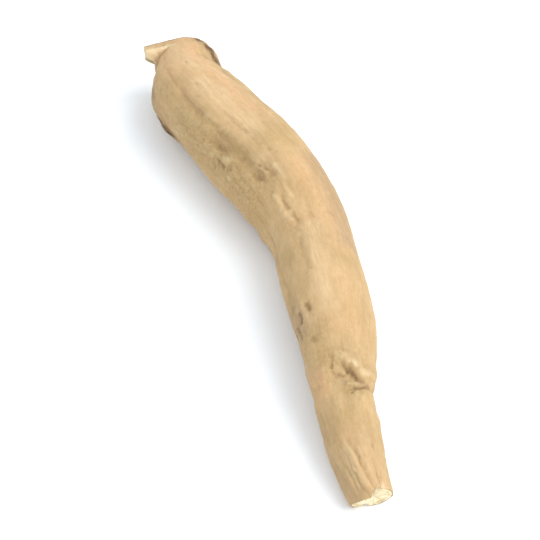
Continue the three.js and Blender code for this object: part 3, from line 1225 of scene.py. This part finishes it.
@dataclass(frozen=True)
class BarkFinish:
    """Dry, matt bark: soft blotches, fibres along the root, specks, darker creases, and painted
    highlights and painted shade in some marks.
    """

    name: str = "dry_bark"
    gloss: float = 0.3
    bump_strength: float = 0.55
    tan: Colour = display(202, 171, 128)
    deep_tan: Colour = display(189, 158, 114)
    olive: Colour = display(174, 145, 100)
    # Rosy and pale also serve as painted highlights, taupe and stain as painted shade, where their marks
    # stand for light
    rosy_and_highlight: Colour = display(219, 177, 133)
    taupe_and_shade: Colour = display(170, 143, 112)
    pale: Colour = display(222, 200, 161)
    stain: Colour = display(100, 72, 44)
    # The colour laid into the hollows of the relief
    hollow_tint: Colour = display(144, 114, 77)
    speck: Colour = display(138, 111, 75)

    def material(self, effects: SharedEffects) -> bpy.types.Material:
        """The bark's material.

        Args:
            effects: The shared groups.

        Returns:
            The material.
        """
        made, sheet = new_material(self.name)
        place = sheet.attribute("bark_place")
        relief, stain, pale = sheet.parts("bark_marks")
        olive, rosy_and_highlight, taupe_and_shade = sheet.parts("bark_tones")
        broad, fine = sheet.group(effects.streaks, Place=place, Length=7.0, Width=0.9, Wander=3.0)
        threads = sheet.group(effects.streaks, Place=place, Length=2.4, Width=0.2, Wander=0.5)[0]
        specks = sheet.group(effects.specks, Place=place, Spacing=1.6, Size=0.3, Share=0.3)[0]
        dots = sheet.group(effects.specks, Place=place, Spacing=0.7, Size=0.35, Share=0.4)[0]
        blotches = sheet.graded(sheet.noise(place, 0.16, 3.0, 0.6), 0.32, 0.68)
        mottles = sheet.graded(sheet.noise(place, 0.9, 4.0, 0.7), 0.32, 0.68)
        ragged = sheet.noise(place, 1.3, 4.0, 0.65)
        crisp = sheet.noise(place, 4.0, 4.0, 0.7)
        crumbs = sheet.noise(place, 1.7, 3.0, 0.6)
        colour = sheet.mix(blotches, self.deep_tan, self.tan)
        # The olive, rosy and taupe patches, with the painted highlights and painted shade that the rosy
        # and taupe marks carry
        patches = ((olive, self.olive, 0.5), (rosy_and_highlight, self.rosy_and_highlight, 0.3), (taupe_and_shade, self.taupe_and_shade, 0.3))
        for patch, tint, depth in patches:
            colour = sheet.mix(sheet.broken(patch, ragged, depth), colour, tint)
        for fibres, most in ((broad, 0.14), (fine, 0.1), (threads, 0.1)):
            colour = sheet.mix(sheet.graded(fibres, 0, 1, 0.0, most), colour, self.deep_tan, "MULTIPLY")
        rubbed = sheet.arithmetic("MULTIPLY_ADD", threads, 0.3, sheet.times(crisp, 0.7))
        layers = (
            # Mottles, and fine grain
            (sheet.times(mottles, sheet.graded(olive, 0, 1, 0.3, 0.6)), self.olive),
            (sheet.graded(ragged, 0.47, 0.6, 0.0, 0.1), self.deep_tan),
            (sheet.graded(crisp, 0.5, 0.72, 0.0, 0.25), self.speck),
            # Light and dark crumbs where the bark is rough, and specks that are thicker there
            (sheet.times(sheet.graded(crumbs, 0.52, 0.64, 0.0, 0.4), olive), self.tan),
            (sheet.times(sheet.graded(crumbs, 0.34, 0.47, 0.45, 0.0), olive), self.speck),
            (sheet.times(specks, sheet.graded(olive, 0, 1, 0.15, 0.6)), self.speck),
            (sheet.times(dots, sheet.graded(olive, 0, 1, 0.1, 0.5)), self.speck),
            # Places that have rubbed pale, and painted highlights
            (sheet.broken(pale, rubbed, 0.7), self.pale),
        )
        for share, tint in layers:
            colour = sheet.mix(share, colour, tint)
        # Darker in the hollows of the relief and paler on what stands out
        relief_tints = {"Relief": relief, "Dirt": self.hollow_tint, "Worn": self.pale}
        colour = sheet.group(effects.hollows_and_ridges, Colour=colour, Dirtiness=0.4, Wear=0.18, **relief_tints)[0]
        # Dark stains, with painted shade under the heel and beside the head's right rim
        colour = sheet.mix(sheet.broken(stain, ragged, 0.6), colour, self.stain)
        rough = sheet.graded(ragged, 0.3, 0.7, 0.72, 0.92)
        rough = sheet.arithmetic("SUBTRACT", rough, sheet.times(rosy_and_highlight, 0.1))
        bumps = sheet.times(fine, 0.3)
        for grain, height in ((threads, 0.3), (crisp, 0.9), (dots, -0.3)):
            bumps = sheet.arithmetic("MULTIPLY_ADD", grain, height, bumps)
        shader = sheet.surface(colour, rough, self.gloss)
        sheet.feed(shader.inputs["Normal"], sheet.bump(bumps, self.bump_strength))
        return made


@dataclass(frozen=True)
class CutFinish:
    """Pale cut wood inside the bark: rays from the middle, faint rings, pores and a brown rim."""

    name: str = "cut_wood"
    gloss: float = 0.25
    bump_strength: float = 0.6
    cream: Colour = display(247, 234, 202)
    straw: Colour = display(232, 211, 166)
    pore: Colour = display(150, 116, 72)
    rim: Colour = display(150, 116, 76)

    def material(self, effects: SharedEffects) -> bpy.types.Material:
        """The cut faces' material.

        Args:
            effects: The shared groups.

        Returns:
            The material.
        """
        made, sheet = new_material(self.name)
        place = sheet.attribute("bark_place")
        relief, stain, out = sheet.parts("bark_marks")
        broad, fine = sheet.group(effects.streaks, Place=place, Length=3.0, Width=0.6, Wander=0.6)
        pores = sheet.group(effects.specks, Place=place, Spacing=0.35, Size=0.4, Share=0.45)[0]
        clear = sheet.graded(out, 0.05, 0.4)
        ring = sheet.arithmetic("ABSOLUTE", sheet.arithmetic("SUBTRACT", out, 0.8))
        layers = (
            # Rays and pores
            (sheet.times(broad, clear), self.straw),
            (sheet.times(fine, sheet.times(clear, 0.3)), self.straw),
            (sheet.times(pores, 0.3), self.pore),
            # The faint ring under the bark, the brown rim, and the cracks
            (sheet.graded(ring, 0.0, 0.06, 0.35, 0.0), self.pore),
            (sheet.graded(out, 0.93, 0.99), self.rim),
            (stain, self.pore),
        )
        colour = self.cream
        for share, tint in layers:
            colour = sheet.mix(share, colour, tint)
        relief_tints = {"Relief": relief, "Dirt": self.pore, "Worn": self.cream}
        colour = sheet.group(effects.hollows_and_ridges, Colour=colour, Dirtiness=0.25, Wear=0.4, **relief_tints)[0]
        shader = sheet.surface(colour, sheet.graded(fine, 0, 1, 0.75, 0.95), self.gloss)
        bumps = sheet.arithmetic("MULTIPLY_ADD", pores, -0.6, fine)
        sheet.feed(shader.inputs["Normal"], sheet.bump(bumps, self.bump_strength))
        return made


@dataclass
class LicoriceRoot:
    """The root itself: bark and both cut ends as one closed skin."""

    # The mesh: places round the root, rings on a cut end, and the spacing of the bark's rings
    sides: int = 220
    cut_rings: int = 12
    fine_step: float = 0.21
    coarse_step: float = 0.35
    # The bark's masks: how far marks stray, the dark rim at the head, the torn wood, how much
    # rougher than olive the bark is, and what counts as deep
    mark_strays: float = 0.55
    rim_width: float = 0.5
    rim_stain: float = 0.6
    torn_pale: float = 0.8
    olive_rough: float = 1.1
    near_relief: float = 0.22
    far_relief: float = 0.9
    # How many rings and places round are near enough, or far enough, to measure depth from
    near_rings: tuple[int, int] = (3, 4)
    far_rings: tuple[int, int] = (12, 14)
    # The cut ends: rays, where cracks are open, how deep and dark they are, and chips of two sizes
    # and heights, of which the head shows less
    ray_circle: float = 5
    ray_size: Point = (4.0, 1.1, 1.1)
    open_size: Point = (3.0, 1.6, 1.6)
    open_fade: Pair = (-0.1, 0.3)
    crack_width: float = 0.06
    crack_depth: float = 0.3
    crack_stain: float = 0.4
    small_chips: Pair = (0.55, 0.22)
    large_chips: Pair = (1.6, 0.25)
    head_chips: float = 0.35
    # Where the cracks begin and how far from the rim the chips do, as shares of the way out, and
    # what counts as deep on a cut
    crack_fade: Pair = (0.2, 0.5)
    chip_fade: Pair = (0.0, 0.15)
    cut_relief: float = 0.25
    # The flat map: its margin, the bark's share of its height, and the cut ends' radius and middles
    map_margin: float = 0.005
    map_of_bark: float = 0.8
    map_of_cut: float = 0.085
    map_of_head: Pair = (0.1, 0.9)
    map_of_tip: Pair = (0.3, 0.9)
    form: RootForm = field(default_factory=RootForm)
    fine: FineBark = field(default_factory=FineBark)

    def rounds(self) -> Array:
        """Degrees round the root of each column of places, from the underside back to it."""
        return (np.arange(self.sides + 1) * 360 / self.sides - 180)[None, :]

    def bark_grid(self) -> dict[str, Array]:
        """Places, points and masks of the bark, one row for each ring.

        Returns:
            Arrays by name.
        """
        form = self.form
        around = self.rounds()
        sideways, upward = np.sin(np.radians(around)), np.cos(np.radians(around))
        start = form.head_cut(form.head_radius * sideways, form.head_radius * upward)
        end = form.tip_cut(form.tip_radius * sideways, form.tip_radius * upward)
        share = form.ring_places(self.fine_step, self.coarse_step)[:, None]
        along = start + (end - start) * share
        places = form.places(along, np.broadcast_to(around, along.shape))
        moved = places.strayed(self.mark_strays)
        tones = {tone: strongest(marks, moved) for tone, marks in MARKS.items()}
        rough = np.clip(tones[Tone.OLIVE] * self.olive_rough, 0, 1)
        small = self.fine.height(places, form.liveliness(places), rough)
        radius = form.radius(places) + small
        rim = np.exp(-(((along - start) / self.rim_width) ** 2)) * self.rim_stain
        torn = form.splinter.torn(places)
        # Stains, pale and rosy places, with the painted shade and painted highlights among their marks
        stain = np.maximum(tones[Tone.STAIN_AND_SHADE], np.maximum(rim, strongest(self.fine.stains, places)))
        pale = np.maximum(tones[Tone.PALE_AND_HIGHLIGHT], torn * self.torn_pale)
        rosy_and_highlight = np.maximum(tones[Tone.ROSY_AND_HIGHLIGHT], torn)
        height = radius - places.plain
        near = (height - softened(height, *self.near_rings)) / self.near_relief
        far = (height - softened(height, *self.far_rings)) / self.far_relief
        # On the flat map, the bark is unrolled along the lower part
        across = self.map_margin + (1 - 2 * self.map_margin) * np.broadcast_to(share, along.shape)
        turn = (places.around + 180) / 360
        up = self.map_margin + (self.map_of_bark - 2 * self.map_margin) * turn
        return {
            "points": form.point_at(along, radius * sideways, radius * upward),
            "place": places.grain(),
            "marks": np.stack([np.clip(near + far, -1, 1), stain, pale], -1),
            "tones": np.stack([tones[Tone.OLIVE], rosy_and_highlight, tones[Tone.TAUPE_AND_SHADE]], -1),
            "map": np.stack([across, up], -1),
        }

    def cut_grid(self, end: End) -> dict[str, Array]:
        """Places, points and masks of one cut end, from its rim to the middle.

        Args:
            end: The end.

        Returns:
            Arrays by name.
        """
        form = self.form
        at_head = end is End.HEAD
        cut = form.head_cut if at_head else form.tip_cut
        size = form.head_radius if at_head else form.tip_radius
        around = self.rounds()
        sideways, upward = np.sin(np.radians(around)), np.cos(np.radians(around))
        rim = form.places(cut(size * sideways, size * upward), around)
        share = (np.arange(self.cut_rings, -1, -1) / self.cut_rings)[:, None]
        along = cut(share * size * sideways, share * size * upward)
        out = np.broadcast_to(share, along.shape)
        radius = share * form.radius(rim)
        round_rays = [np.broadcast_to(self.ray_circle * way, along.shape) for way in (sideways, upward)]
        rays = np.stack([out * size, *round_rays], -1)
        face = np.stack([radius * sideways, radius * upward, np.zeros_like(along)], -1)
        chips = np.zeros_like(along)
        for seed, (width, height) in ((31, self.small_chips), (32, self.large_chips)):
            chips += height * Lumps(seed).at(face, (width, width, 1))
        lines = np.abs(Lumps(33).at(rays, self.ray_size))
        open_there = smoothstep(Lumps(34).at(rays, self.open_size), *self.open_fade)
        crack = np.exp(-((lines / self.crack_width) ** 2)) * smoothstep(out, *self.crack_fade)
        crack = crack * open_there
        raised = chips * (self.head_chips if at_head else 1) - self.crack_depth * crack
        along = along + (-1 if at_head else 1) * raised * smoothstep(1 - out, *self.chip_fade)
        marks = [np.clip(raised / self.cut_relief, -1, 1), crack * self.crack_stain, out]
        map_middle = np.array(self.map_of_head if at_head else self.map_of_tip)
        return {
            "points": form.point_at(along, radius * sideways, radius * upward),
            "place": rays,
            "marks": np.stack(marks, -1),
            "tones": np.zeros((*along.shape, 3)),
            "map": map_middle + self.map_of_cut * np.stack([out * sideways, out * upward], -1),
        }

    @staticmethod
    def quad_corners(grid: Array) -> Array:
        """Four values for each face between a grid's rings, ring after ring."""
        corners = [grid[:-1, :-1], grid[1:, :-1], grid[1:, 1:], grid[:-1, 1:]]
        return np.stack(corners, axis=2).reshape(-1, grid.shape[-1])

    @staticmethod
    def fan_corners(grid: Array, end: End) -> Array:
        """The values at the corners of the triangles in the middle of a cut end.

        Args:
            grid: One row for each ring from the rim to the middle.
            end: The end, because the tip's triangles go round the other way.

        Returns:
            Three values for each triangle.
        """
        middle, here, after = grid[-1, :-1], grid[-2, :-1], grid[-2, 1:]
        corners = [middle, here, after] if end is End.HEAD else [middle, after, here]
        return np.stack(corners, axis=1).reshape(-1, grid.shape[-1])

    def build(self) -> bpy.types.Object:
        """The root as one object.

        Returns:
            The object, with its places and masks as attributes of its faces' corners.
        """
        bark, head, tip = self.bark_grid(), self.cut_grid(End.HEAD), self.cut_grid(End.TIP)
        grid = np.concatenate([head["points"][-2:0:-1], bark["points"], tip["points"][1:-1]])[:, :-1]
        points = np.concatenate([grid.reshape(-1, 3), head["points"][-1, :1], tip["points"][-1, :1]])
        points[:, :2] += CENTRING
        points[:, 2] = np.maximum(points[:, 2], 0)
        faces, kinds = self.faces(len(grid))
        mesh = bpy.data.meshes.new(SKIN_NAME)
        mesh.from_pydata((points * MM).tolist(), [], faces)
        mesh.polygons.foreach_set("material_index", kinds)
        mesh.polygons.foreach_set("use_smooth", [True] * len(faces))
        for name in ("place", "marks", "tones", "map"):
            corners = [
                self.quad_corners(head[name][-2::-1]),
                self.quad_corners(bark[name]),
                self.quad_corners(tip[name][:-1]),
                self.fan_corners(head[name], End.HEAD),
                self.fan_corners(tip[name], End.TIP),
            ]
            if name == "map":
                values = mesh.uv_layers.new(name="OFBake").uv
            else:
                values = mesh.attributes.new("bark_" + name, "FLOAT_VECTOR", "CORNER").data
            values.foreach_set("vector", np.concatenate(corners).astype(np.float32).ravel())
        self.sharpen_rims(mesh, len(grid))
        mesh.update()
        return new_object(SKIN_NAME, mesh)

    def sharpen_rims(self, mesh: bpy.types.Mesh, rings: int) -> None:
        """Keeps the edges crisp where the bark meets a cut face.

        Args:
            mesh: The root's mesh.
            rings: How many rings of points it has.
        """
        ends = np.zeros(len(mesh.edges) * 2, dtype=np.int32)
        mesh.edges.foreach_get("vertices", ends)
        ring = ends.reshape(-1, 2) // self.sides
        on_rim = np.isin(ring[:, 0], (self.cut_rings - 1, rings - self.cut_rings))
        sharp = mesh.attributes.new("sharp_edge", "BOOLEAN", "EDGE")
        sharp.data.foreach_set("value", on_rim & (ring[:, 0] == ring[:, 1]))

    def faces(self, rings: int) -> tuple[list[list[int]], list[int]]:
        """The faces over all rings and the fans that close both ends.

        Args:
            rings: How many rings of points there are.

        Returns:
            Each face's corners, and its material's number.
        """
        here = np.arange(self.sides)
        after = (here + 1) % self.sides
        row = np.arange(rings - 1)[:, None] * self.sides
        corners = [row + here, row + self.sides + here, row + self.sides + after, row + after]
        quads = np.stack(corners, -1).reshape(-1, 4)
        kinds = np.zeros((rings - 1, self.sides), dtype=int)
        kinds[: self.cut_rings - 1] = 1
        kinds[rings - self.cut_rings :] = 1
        middle = np.full(self.sides, rings * self.sides)
        last_row = (rings - 1) * self.sides
        head_fan = np.stack([middle, here, after], -1)
        tip_fan = np.stack([middle + 1, last_row + after, last_row + here], -1)
        faces = quads.tolist() + head_fan.tolist() + tip_fan.tolist()
        return faces, kinds.ravel().tolist() + [1] * (2 * self.sides)

    def dress(self, skin: bpy.types.Object, effects: SharedEffects) -> None:
        """Gives the skin its two finishes, with the shared effects."""
        skin.data.materials.append(BarkFinish().material(effects))
        skin.data.materials.append(CutFinish().material(effects))


@dataclass(frozen=True)
class Lamp:
    """A large, soft, round lamp, placed by its direction and its distance from the root."""

    name: str
    toward: Point
    distance: float
    width: float
    power: float

    def add(self) -> None:
        """Hangs the lamp so that it looks at the root."""
        data = bpy.data.lights.new(self.name, "AREA")
        data.shape = "DISK"
        data.size = self.width
        data.energy = self.power
        lamp = new_object(self.name, data)
        way = Vector(self.toward).normalized()
        lamp.location = way * self.distance
        lamp.rotation_euler = way.to_track_quat("Z", "Y").to_euler()


@dataclass(frozen=True)
class Studio:
    """A plain pale floor, soft light that comes mostly from the right, and the camera."""

    target: Point = (-4.06, -2.61, 6.5)
    azimuth: float = -17.33
    elevation: float = 45
    distance: float = 510
    view_width: float = 92
    sensor: float = 36
    nearest: float = 0.01
    floor_half: float = 4
    floor_drop: float = -0.00002
    floor_roughness: float = 0.9
    floor_gloss: float = 0.1
    floor_tint: Colour = display(246, 246, 250)
    sky_tint: Colour = display(242, 250, 252)
    sky_strength: float = 1.0
    key: Lamp = Lamp("key", (0.75, -0.42, 0.95), 1.6, 1.6, 21.5)
    fill: Lamp = Lamp("fill", (-0.3, -0.8, 0.6), 1.6, 2.0, 6)

    def add_camera(self) -> None:
        """The camera at the photograph's viewing angle."""
        turn, rise = math.radians(self.azimuth), math.radians(self.elevation)
        flat = math.cos(rise)
        back = Vector((math.sin(turn) * flat, -math.cos(turn) * flat, math.sin(rise)))
        data = bpy.data.cameras.new("camera")
        data.sensor_width = self.sensor
        data.lens = self.sensor * self.distance / self.view_width
        data.clip_start = self.nearest
        camera = new_object("camera", data)
        camera.location = (Vector(self.target) + back * self.distance) * MM
        camera.rotation_euler = back.to_track_quat("Z", "Y").to_euler()
        bpy.context.scene.camera = camera

    def add_floor(self) -> None:
        """The pale floor, just under the root."""
        half, drop = self.floor_half, self.floor_drop
        mesh = bpy.data.meshes.new("floor")
        corners = [(-half, -half, drop), (half, -half, drop), (half, half, drop), (-half, half, drop)]
        mesh.from_pydata(corners, [], [(0, 1, 2, 3)])
        made, sheet = new_material("pale_floor")
        sheet.surface(self.floor_tint, self.floor_roughness, self.floor_gloss)
        mesh.materials.append(made)
        new_object("floor", mesh)

    def add_light(self) -> None:
        """The sky that fills the shadows, and the lamps."""
        world = bpy.data.worlds.new("soft_sky")
        world.use_nodes = True
        background = world.node_tree.nodes["Background"]
        background.inputs["Color"].default_value = self.sky_tint
        background.inputs["Strength"].default_value = self.sky_strength
        bpy.context.scene.world = world
        self.key.add()
        self.fill.add()
        bpy.context.scene.view_settings.view_transform = "Standard"


def main() -> None:
    """Builds the studio and the root, and reports each piece."""
    logging.basicConfig(level=logging.INFO, format="%(name)s: %(message)s")
    studio = Studio()
    studio.add_camera()
    studio.add_floor()
    studio.add_light()
    LOG.info("studio: camera, floor and two lamps")
    root = LicoriceRoot()
    skin = root.build()
    root.dress(skin, SharedEffects())
    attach(skin, "root")
    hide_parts("licorice_root")
    LOG.info("%s: %d faces", skin.name, len(skin.data.polygons))


if __name__ == "__main__":
    main()
